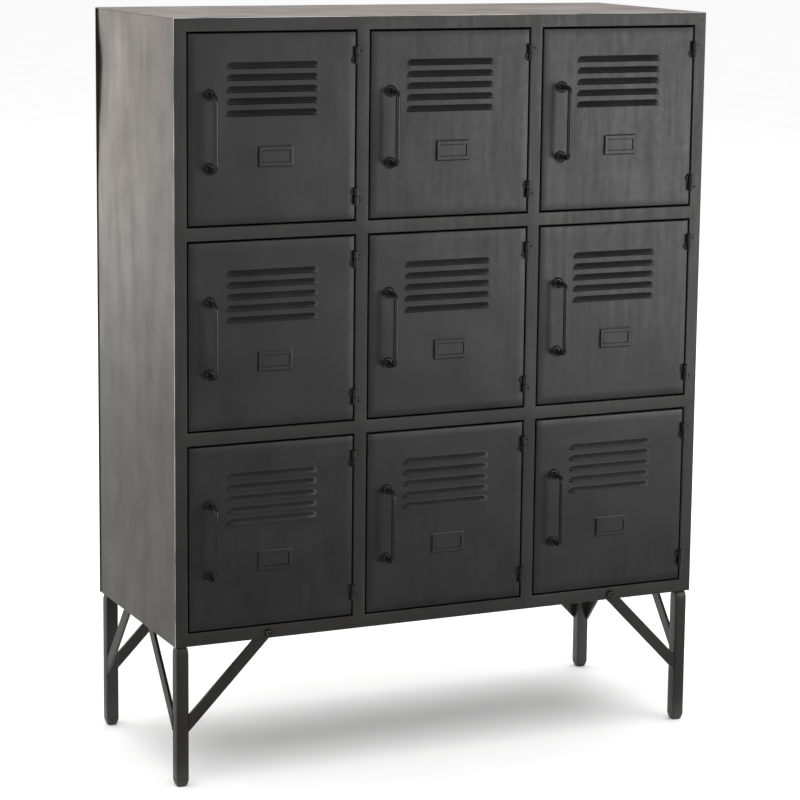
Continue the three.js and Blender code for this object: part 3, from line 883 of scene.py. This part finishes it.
for name, place in doors.items():
    at = Vector((door_middle + HOLDER["shift"], AXIS_TO_FACE, door_z1 - HOLDER["drop"]))
    shape = moved(card_holder(), from_axis(place) + at)
    place["holder"] = make_object(f"card_holder_{name}", shape, door_paint)
print("one card holder:", len(place["holder"].data.polygons), "faces")

# %% [markdown]
# ## The casing's sheets
#
# Big thin sheets are held by their folds, and between them they bow a little. The left side leans in
# near its rear top corner, where the edge of the back sheet shows beside it. A perfectly flat box would
# mirror the room in one even tone, and it is this slight bow that tells the eye it is sheet metal. How
# far a sheet lies off its flat plane is a small function of the place on it, and `grid_sheet` draws it.

# %% The casing's sheets
SIDE_FRONT = FRONT + FRAME_SHEET + FIT
SIDE_REAR = BACK - SHEET - FIT
SIDE_TOP = TOP - SHEET - FIT
FLANGE = 15 * MM
BELLY = 1.3 * MM          # how far the middle of a side stands out from its edges
LEAN_FROM = 0.45          # the lean starts this far along the sheet, and is full at its rear edge
# The lean in mm at a few drops in mm below the top.
lean_by_drop = [(0, 1.2), (30, 1.8), (92, 4.8), (150, 3.4), (215, 1.3), (325, 0), (1100, 0)]


def lean(z):
    """How far the left side leans in at its rear edge, from the drop below the top."""
    drop = (TOP - z) / MM
    for (d0, a0), (d1, a1) in zip(lean_by_drop, lean_by_drop[1:]):
        if drop <= d1:
            return (a0 + (a1 - a0) * smooth((drop - d0) / (d1 - d0))) * MM
    return 0


def side_sheet(side):
    """The wall, a fold at the rear and a flange behind the back sheet's edge."""
    line = [(0, y) for y in evenly(SIDE_FRONT, SIDE_REAR - FOLD, 22)]
    line += [(inward, SIDE_REAR - FOLD + along) for along, inward in QUARTER_FOLD[1:]]
    line.append((FLANGE, SIDE_REAR))

    def point_at(k, z):
        inward, y = line[k]
        along = (y - SIDE_FRONT) / (SIDE_REAR - SIDE_FRONT)
        belly = math.sin(math.pi * along) * math.sin(math.pi * (z - BASE) / (TOP - BASE))
        leaning = lean(z) * smooth((along - LEAN_FROM) / (1 - LEAN_FROM)) if side < 0 else 0
        return Vector((side * (HALF - inward - (1 - belly) * BELLY - leaning), y, z))

    return grid_sheet(range(len(line)), evenly(BASE, SIDE_TOP, 44), point_at)


casing = []
for label, side in (("left", -1), ("right", 1)):
    sheet = make_object(f"side_sheet_{label}", side_sheet(side), side_paint_and_warm_light)
    outward(sheet, 0, side)
    casing.append(thicken(sheet, SHEET - PAINT_SKIN))
    print(sheet.name, len(sheet.data.polygons), "faces")

# %% [markdown]
# The top sheet lies on the sides and the back. Its edges are folded down with a small round, which
# catches a line of light, and its middle sags by less than a millimetre.

# %% The top sheet
SAG = 0.5 * MM
RIPPLE = 0.25 * MM
HELD = 80 * MM            # the folds hold the sheet flat this far in


def top_sheet():
    half_y = (BACK - SIDE_FRONT) / 2
    middle_y = (BACK + SIDE_FRONT) / 2
    xs = evenly(-HALF + FOLD, HALF - FOLD, 30)
    ys = evenly(-half_y + FOLD, half_y - FOLD, 14)

    def point_at(x, y):
        sag = math.sin(math.pi * (x + HALF) / (2 * HALF)) * math.cos(math.pi * y / (2 * half_y))
        ripple = math.sin(x * 11 + y * 5) * math.sin(y * 9 - x * 4)
        hold = smooth((HALF - abs(x)) / HELD) * smooth((half_y - abs(y)) / HELD)
        return Vector((x, middle_y + y, TOP - (SAG * sag + RIPPLE * (1 + ripple)) * hold))

    edges = folded_edges(xs, ys, QUARTER_FOLD[:-1] + [(FOLD, SHEET)],
                         lambda x, y, down: Vector((x, middle_y + y, TOP - down)))
    return together([grid_sheet(xs, ys, point_at), edges])


# The top sheet's paint carries painted light from above in its colour.
top = make_object("top_sheet", top_sheet(), top_paint_and_light)
outward(top, 2, 1)
casing.append(thicken(top, SHEET - 2 * PAINT_SKIN))
print("top sheet:", len(top.data.polygons), "faces")

# %% [markdown]
# ## Stops behind the doors
#
# A small plate is welded behind each door's free edge. The door closes against it, on two rubber
# bumpers. Both only show when a door is open, so a cut plate and a turned button are enough.

# %% Stops behind the doors
STOP_FRONT = FRONT + DOOR_DEPTH + FIT


def stop_plate():
    outline = [(u + 5.4 * MM, v) for u, v in rounded_ring(6.6 * MM, 17 * MM, 2 * MM, 4)]
    return plate(outline, STOP_FRONT + 0.05 * MM, STOP_FRONT + 1.5 * MM, 0.3 * MM)


def bumper():
    """A rubber button that stands a hair proud of the stop, with its stem behind."""
    sizes = [(2.6, 0.0), (3.2, 0.35), (3.4, 2.15)]
    return lathe([(r * MM, STOP_FRONT + y * MM) for r, y in sizes], "Y", 20)


plates, bumpers = [], []
for place in doors.values():
    at = (place["corner"].x, 0, place["corner"].z + OPENING_H / 2)
    plates.append(moved(stop_plate(), at))
    bumpers += [moved(bumper(), Vector(at) + Vector((7.5 * MM, 0, side * 9 * MM)))
                for side in (-1, 1)]
stops = make_object("door_stops", together(plates), frame_paint)
rubber = make_object("door_bumpers", together(bumpers), rubber_and_washer_shade)
print("stops:", len(plates), " bumpers:", len(bumpers))

# %% [markdown]
# ## Legs and feet
#
# The legs are square tube, drawn through rollers, so their corners are round. Each leg narrows at its
# top, where it is capped and welded under the casing, and that leaves a dark line between the two. Each
# foot is a moulded plastic plug that tapers to the floor. A cube with bevelled edges would give the
# tube but neither of its ends, so leg and foot are lofts of round-cornered squares of changing size.

# %% Legs and feet
LEG_HALF = 11 * MM
LEG_ROUND = 2.2 * MM      # the tube's corner radius
# The leg's narrowed top: the drop below the casing and the inset there, in mm.
leg_top = [(12, 0.1), (8.5, 0.45), (5.5, 0.95), (3.6, 1.5), (2.4, 2.3), (2.0, 3.4)]
# The foot: height, half width and corner radius, in mm.
foot_sizes = [(0, 6.8, 3.0), (0.35, 7.6, 3.2), (1.0, 8.3, 3.4), (2.0, 8.9, 3.5), (3.6, 9.5, 3.5),
              (6.0, 10.1, 3.2), (9.0, 10.7, 2.8), (11.5, 10.95, 2.4), (13.6, 11.0, 2.2),
              (13.8, 10.9, 2.2)]
corners = ["front_left", "front_right", "back_left", "back_right"]
legs = {}
for corner in corners:
    low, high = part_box(f"leg_{corner}")
    x, y = (low.x + high.x) / 2, (low.y + high.y) / 2
    levels = [(low.z, 0.3), (low.z + 0.3 * MM, 0)]
    levels += [(z, 0) for z in evenly(low.z + 10 * MM, BASE - 16 * MM, 8)]
    levels += [(BASE - drop * MM, e) for drop, e in leg_top] + [(high.z, leg_top[-1][1])]
    tube = [[Vector((x + u, y + v, z))
             for u, v in rounded_ring(LEG_HALF - e * MM, LEG_HALF - e * MM, LEG_ROUND, 6)]
            for z, e in levels]
    sole = [[Vector((x + u, y + v, z * MM)) for u, v in rounded_ring(h * MM, h * MM, r * MM, 6)]
            for z, h, r in foot_sizes]
    legs[corner] = (make_object(f"leg_tube_{corner}", loft(tube), frame_paint),
                    make_object(f"moulded_foot_{corner}", loft(sole), foot_plastic))
print("legs:", len(legs), "of", round(2 * LEG_HALF / MM), "mm square tube")

# %% [markdown]
# ## One stamp for everything that repeats
#
# The four bolts are one shape at four places, and so are all welds further down. Copying each by hand
# would work for four bolts but not for hundreds of weld pools. `stamp` is a Geometry Nodes tree that
# puts an object on every point of a mesh. Each point carries its own turn and size, and a seed makes
# the sizes vary a little, always in the same way.

# %% One stamp for everything that repeats
def stamp_tree():
    tree, given, result = node_group("stamp", {
        "Geometry": "Geometry", "Piece": "Object", "Smallest": "Float", "Largest": "Float",
        "Seed": "Int", "Finish": "Material"})
    turn = stored(tree, "turn", "FLOAT_VECTOR")
    size = stored(tree, "size", "FLOAT_VECTOR")
    varied = add_node(tree, "FunctionNodeRandomValue", {
        2: given["Smallest"], 3: given["Largest"], "Seed": given["Seed"]}, data_type="FLOAT").outputs[1]
    scale = add_node(tree, "ShaderNodeVectorMath", {0: size, "Scale": varied},
                     operation="SCALE").outputs[0]
    piece = add_node(tree, "GeometryNodeObjectInfo",
                     {"Object": given["Piece"]}).outputs["Geometry"]
    placed = add_node(tree, "GeometryNodeInstanceOnPoints", {
        "Points": given["Geometry"], "Instance": piece, "Rotation": turn, "Scale": scale}).outputs[0]
    end_tree(tree, placed, given["Finish"], result)
    return tree


stamp = stamp_tree()


def stamped(name, piece, spots, material, smallest=1.0, largest=1.0, seed=1, sharp=32):
    """Puts piece at every spot, which is (place, turn, size)."""
    mesh = bpy.data.meshes.new(name)
    mesh.from_pydata([tuple(place) for place, _, _ in spots], [], [])
    for label, column in (("turn", 1), ("size", 2)):
        layer = mesh.attributes.new(label, "FLOAT_VECTOR", "POINT")
        layer.data.foreach_set("vector", [v for spot in spots for v in spot[column]])
    made = bpy.data.objects.new(name, mesh)
    bpy.context.scene.collection.objects.link(made)
    run_group(made, stamp, {"Piece": piece, "Smallest": smallest, "Largest": largest,
                            "Seed": seed, "Finish": material})
    return as_plain_mesh(made, sharp)


# %% [markdown]
# ## Bolts
#
# Each brace along the width is held to the casing's bottom rail by a button-head bolt on a rubber
# washer, whose near-black is painted shade for the gap round the head. The head is a dome with a hexagon
# socket,
# and the nut behind has six flats: both come from the lathe tool, with some of its rings turned into
# hexagons.

# %% The bolts
def bolt():
    """The head with its socket, the shank through the rail, and the nut with the thread's end."""
    head = [(0.05, -1.3), (2.3, -1.3), (2.3, -4.0), (2.6, -4.2), (3.5, -4.05), (4.4, -3.5), (5.0, -2.7),
            (5.3, -1.6), (5.2, -0.8), (3.0, -0.8), (3.0, 9.3)]
    rear = [(5.4, 9.3), (5.8, 9.7), (5.8, 13.8), (5.4, 14.2), (2.9, 14.2), (2.9, 16.6), (2.3, 17.2)]
    flats = {1: 6, 2: 6, 11: 6, 12: 6, 13: 6, 14: 6}
    return lathe([(r * MM, y * MM) for r, y in head + rear], "Y", 24, flats)


def bolt_washer():
    """A rubber washer with a raised rim round the bolt's head. Its near-black is painted shade."""
    ring = [(3.1, -0.1), (3.1, -0.75), (5.5, -0.8), (5.9, -0.7), (6.6, -0.75), (7.1, -1.15),
            (7.6, -1.2), (8.0, -0.9), (8.0, -0.35), (7.8, -0.1)]
    points, faces = lathe([(r * MM, y * MM) for r, y in ring + ring[:1]], "Y", 32)
    return points, faces[:-2]


one_bolt = make_object("one_bolt", bolt(), black_oxide)
spots = []
for corner in corners:
    low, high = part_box(f"leg_bolt_{corner}")
    rear = corner.startswith("back")
    place = Vector(((low.x + high.x) / 2, BACK if rear else FRONT, (low.z + high.z) / 2))
    spots.append((place, (0, 0, math.pi if rear else 0), (1, 1, 1)))
bolts = stamped("leg_bolts", one_bolt, spots, black_oxide)
bpy.data.objects.remove(one_bolt)
# The washers' near-black stands in for the shade round each head.
one_washer = make_object("one_washer", bolt_washer(), rubber_and_washer_shade)
washers = stamped("bolt_washers", one_washer, spots, rubber_and_washer_shade)
bpy.data.objects.remove(one_washer)
print("bolts:", len(spots))

# %% [markdown]
# ## Welds
#
# Welded steel furniture shows its welds under the paint. A weld is a row of small overlapping pools,
# so we stamp a low dome along a line, a little larger here and smaller there. Each hinge tab has one
# round plug weld, the braces are welded to the legs along both edges, and short tacks hold the top to
# the left side. Tacks at the frame's joints were ground down, which left small dark marks. A bump could
# draw the pools as well, but real ones also show at the outline of a leg.

# %% Welds
def dome():
    """A low round dome about the Z axis, one unit wide."""
    return lathe([(0.5, -0.12), (0.49, 0.05), (0.42, 0.17), (0.28, 0.26), (0.1, 0.30)], "Z", 10)


one_pool = make_object("one_pool", dome(), frame_paint)
FACING = {"front": (math.pi / 2, 0, 0), "back": (-math.pi / 2, 0, 0),
          "left": (0, -math.pi / 2, 0), "right": (0, math.pi / 2, 0)}
POOL_PITCH = 1.3 * MM     # from one pool of a seam to the next
PLUG = 4.6 * MM           # a plug weld's width
chance = random.Random(11)


def seam(start, end, facing, width, skip=0.0):
    """Spots along a straight weld from start to end, leaving out a share of them."""
    start, end = Vector(start), Vector(end)
    count = max(2, int((end - start).length / POOL_PITCH))
    row = []
    for i in range(count + 1):
        wobble = Vector([chance.uniform(-1, 1) * width * 0.08 for _ in range(3)])
        spot = start.lerp(end, i / count) + wobble
        if chance.random() >= skip:
            row.append((spot, FACING[facing], (width, width, width * 0.8)))
    return row


TAB_FRONT = AXIS_TO_FACE - TAB["thick"] + 0.1 * MM
frame_welds = []
for place in doors.values():
    origin = from_axis(place)
    for _, z, _ in hinge_heights():
        button = origin + Vector((8.4 * MM, TAB_FRONT, z))
        frame_welds.append((button, FACING["front"], (PLUG, PLUG, PLUG)))
welds = stamped("frame_welds", one_pool, frame_welds, frame_paint, 0.9, 1.1, seed=4, sharp=60)

TACKS = 26                # along the upper left edge
tack_x, tack_z = -HALF + 0.75 * MM, TOP - 1.5 * MM
tacks = []
for count in range(TACKS):
    y = SIDE_FRONT + (BACK - SIDE_FRONT) * (count + chance.uniform(0.2, 0.8)) / TACKS
    long = chance.uniform(2, 6) * MM
    tacks += seam((tack_x, y, tack_z), (tack_x, y + long, tack_z), "left", 2.0 * MM)
for x in (-HALF + 14 * MM, HALF - 9 * MM):
    for z in [TOP - 12 * MM] + [r + OPENING_H + 11 * MM for r in rows[:2]]:
        for side in (-1, 1):
            tacks.append((Vector((x + side * 2.6 * MM, FRONT + 0.1 * MM, z)), FACING["front"],
                          (1.9 * MM, 2.6 * MM, 1.2 * MM)))
marks = stamped("tack_welds", one_pool, tacks, scorched, 0.8, 1.2, seed=5, sharp=60)
print("pools on the frame:", len(frame_welds) + len(tacks))

# %% [markdown]
# The braces meet the legs at a slant. Their boxes in the frame say where each seam starts, and it runs
# up the leg from there.

# %% Welds on the legs
BEAD = 2.4 * MM           # width of the weld round a brace
RISE = 30 * MM            # height of a brace's end where it meets the leg
leg_welds = []
for corner in corners:
    low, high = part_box(f"leg_{corner}")
    sx = 1 if "left" in corner else -1
    sy = 1 if "front" in corner else -1
    wide_low, wide_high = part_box(f"width_brace_{corner}")
    deep_low, deep_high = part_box(f"depth_brace_{corner}")
    side_x = high.x if sx > 0 else low.x
    side_y = high.y if sy > 0 else low.y
    for y in (wide_low.y + 0.4 * MM, wide_high.y - 0.4 * MM):
        leg_welds += seam((side_x, y, wide_low.z + 1 * MM), (side_x, y, wide_low.z + RISE),
                          "right" if sx > 0 else "left", BEAD)
    for x in (deep_low.x + 0.4 * MM, deep_high.x - 0.4 * MM):
        leg_welds += seam((x, side_y, deep_low.z + 1 * MM), (x, side_y, deep_low.z + RISE),
                          "back" if sy > 0 else "front", BEAD)
leg_beads = stamped("leg_welds", one_pool, leg_welds, frame_paint, 0.8, 1.15, seed=9, sharp=60)
print("pools on the legs:", len(leg_welds))

# %% [markdown]
# The plug welds of a door's hinge tabs move with the door, so every door gets its own.

# %% Welds on the doors
for number, (name, place) in enumerate(doors.items()):
    origin = from_axis(place)
    spots = [(origin + Vector((-6.8 * MM, TAB_FRONT, z)), FACING["front"], (PLUG, PLUG, PLUG))
             for _, _, z in hinge_heights()]
    place["dots"] = stamped(f"hinge_welds_{name}", one_pool, spots, door_paint, 0.85, 1.2,
                            seed=20 + number, sharp=60)
bpy.data.objects.remove(one_pool)
print("plug welds on each door:", len(spots))

# %% [markdown]
# ## The plain pieces
#
# Shelves, dividers, the bottom, the back and the braces are flat steel, and the frame already has their
# exact shape, so nothing is gained by drawing them again. They only need their paint, and a small bevel
# so that their edges catch the light.

# %% The plain pieces
plain_sheets = ["back_panel", "bottom_panel", "shelf_lower", "shelf_upper",
                "divider_left", "divider_right"]
braces = [f"{way}_brace_{corner}" for way in ("width", "depth") for corner in corners]
for name in plain_sheets + braces:
    piece = frame["nodes"][name]
    piece.data.materials.clear()
    piece.data.materials.append(frame_paint if name in braces else inner_paint)
    soft = piece.modifiers.new("soft edges", "BEVEL")
    soft.width = 0.8 * MM if name in braces else 0.25 * MM
    soft.segments = 2
    soft.limit_method = "ANGLE"
    soft.angle_limit = math.radians(40)
# The back gets the sides' paint, with its painted warm light.
frame["nodes"]["back_panel"].data.materials[0] = side_paint_and_warm_light
print("plain pieces:", len(plain_sheets), "sheets and", len(braces), "braces")

# %% [markdown]
# ## What moves with what
#
# The casing stands still. Each door carries its sheet, its half of the hinges, its pull and its card
# holder. The frame pieces that they stand for are hidden.

# %% What moves with what
root = next(body for body in frame["bodies"] if body not in {p["body"] for p in doors.values()})
still = [face_frame, hinges_on_frame, stops, rubber, welds, marks, leg_beads, bolts, washers] + casing
still += [piece for pair in legs.values() for piece in pair]
for piece in still:
    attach(piece, root)
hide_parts("front_frame")
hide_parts(*[f"leg_bolt_{corner}" for corner in corners])
for sheet, node in zip(casing, ["side_panel_left", "side_panel_right", "top_panel"]):
    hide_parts(node)
for corner, (tube, sole) in legs.items():
    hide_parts(f"leg_{corner}")
    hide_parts(f"foot_{corner}")
for name, place in doors.items():
    for key, finish in (("sheet", "door_paint"), ("hinges", "door_paint"), ("dots", "door_paint"),
                        ("holder", "door_paint"), ("pull", "handle_paint"), ("nuts", "bolt_steel")):
        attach(place[key], place["body"])
    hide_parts(f"door_{name}")
    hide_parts(f"handle_{name}")
    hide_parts(f"card_holder_{name}")
print("standing still:", len(still), "pieces;", len(doors), "doors carry six pieces each")

# %% [markdown]
# ## A plain studio
#
# The cabinet stands on a pale floor that runs far back, in white surroundings. A black object is shaped
# by what it reflects, so large soft lights matter more than bright ones. A wide one low at the front
# right gives the doors their soft sheen and stays below the top, so the top has no glare from behind.
# A faint one at the left rear warms the left side, and one overhead keeps the floor white.

# %% A plain studio
def soft_light(name, place, aim, size, power, colour="ffffff"):
    data = bpy.data.lights.new(name, "AREA")
    data.shape = "RECTANGLE"
    data.size, data.size_y = size
    data.energy = power
    data.color = linear(colour)[:3]
    lamp = bpy.data.objects.new(name, data)
    lamp.location = place
    lamp.rotation_euler = (Vector(aim) - Vector(place)).to_track_quat("-Z", "Y").to_euler()
    bpy.context.scene.collection.objects.link(lamp)
    return lamp


FLOOR_LEVEL = -0.2 * MM   # a hair below the feet, so that the two don't flicker into each other
floor_material = plain_finish("pale floor", "f4f4f4", "f8f8f8", (0.85, 0.95), 300, bump=0.01)
floor_corners = [Vector((x, y, FLOOR_LEVEL))
                 for x, y in [(-40, -15), (40, -15), (40, 90), (-40, 90)]]
floor = make_object("floor", (floor_corners, [(0, 1, 2, 3)]), floor_material)
key = soft_light("wide_light_front_right", (3.2, -4.1, 0.68), (0.2, -0.2, 0.9), (2.4, 1.25), 40)
side = soft_light("wide_light_left_rear", (-1.35, 4.2, 1.35), (-0.5, 0, 0.9), (1.4, 2.3), 14, "ffeede")
above = soft_light("light_over_the_floor", (0, 0, 6), (0, 0, 0), (9, 9), 440)
above.visible_glossy = False


# %% [markdown]
# Studios also hang grey cards where the camera can't see them. Ours show only in reflections, where
# they darken the white surroundings and give black paint its depth. A card is level or upright, and is
# given by two opposite corners.

# %% Cards for the reflections
def card(name, grey, low, high):
    """A flat rectangle between two corners that share their height (level) or their y (upright)."""
    (x0, y0, z0), (x1, y1, z1) = low, high
    near_z, far_z = (z0, z1) if y0 == y1 else (z0, z0)
    corners_of_card = [(x0, y0, near_z), (x1, y0, near_z), (x1, y1, far_z), (x0, y1, far_z)]
    made = make_object(name, ([Vector(p) for p in corners_of_card], [(0, 1, 2, 3)]),
                       plain_finish(f"cloth on {name}", grey, grey, (0.9, 0.95), 200))
    made.visible_camera = made.visible_diffuse = made.visible_shadow = False


card("card_overhead", "202020", (-3, -5, 3.1), (5, 1.5, 3.1))
card("card_on_floor_in_front", "686868", (-4, -9, 4 * MM), (2.4, -0.24, 4 * MM))
card("card_on_floor_at_left", "b0b0b0", (-5, -0.2, 4 * MM), (-0.52, 3.6, 4 * MM))
card("card_front_left", "282828", (-7, -9, -0.3), (1.6, -9, 3.1))
card("card_behind_right", "dadada", (4.1, 12, -0.3), (15, 12, 4.5))

world = bpy.data.worlds.new("white surroundings")
bpy.context.scene.world = world
world.use_nodes = True
surroundings = world.node_tree.nodes["Background"].inputs
surroundings["Color"].default_value = (1, 1, 1, 1)
surroundings["Strength"].default_value = 1.03
bpy.context.scene.view_settings.view_transform = "Standard"
print("lights:", len(bpy.data.lights))

# %% [markdown]
# ## The camera
#
# We look from the left and a little above, from far away with a long lens, so that upright edges stay
# nearly parallel. The camera's turn is built from three directions: ahead, to its right, and down.

# %% The camera
YAW, PITCH, ROLL = math.radians(24.73), math.radians(9.50), math.radians(-0.62)
CAMERA_PLACE = (-1.982, -4.292, 1.511)
ahead = Vector((math.sin(YAW) * math.cos(PITCH), math.cos(YAW) * math.cos(PITCH), -math.sin(PITCH)))
level_right = Vector((math.cos(YAW), -math.sin(YAW), 0))
level_down = ahead.cross(level_right)
right = math.cos(ROLL) * level_right + math.sin(ROLL) * level_down
down = -math.sin(ROLL) * level_right + math.cos(ROLL) * level_down
camera_data = bpy.data.cameras.new("camera")
camera_data.lens = 120.5
camera_data.shift_y = -0.08
camera_data.clip_end = 300
camera = bpy.data.objects.new("camera", camera_data)
turn = Matrix((right, -down, -ahead)).transposed().to_4x4()
camera.matrix_world = Matrix.Translation(CAMERA_PLACE) @ turn
bpy.context.scene.collection.objects.link(camera)
bpy.context.scene.camera = camera
print("lens:", camera_data.lens, "mm, from", round(Vector(CAMERA_PLACE).length, 2), "m away")
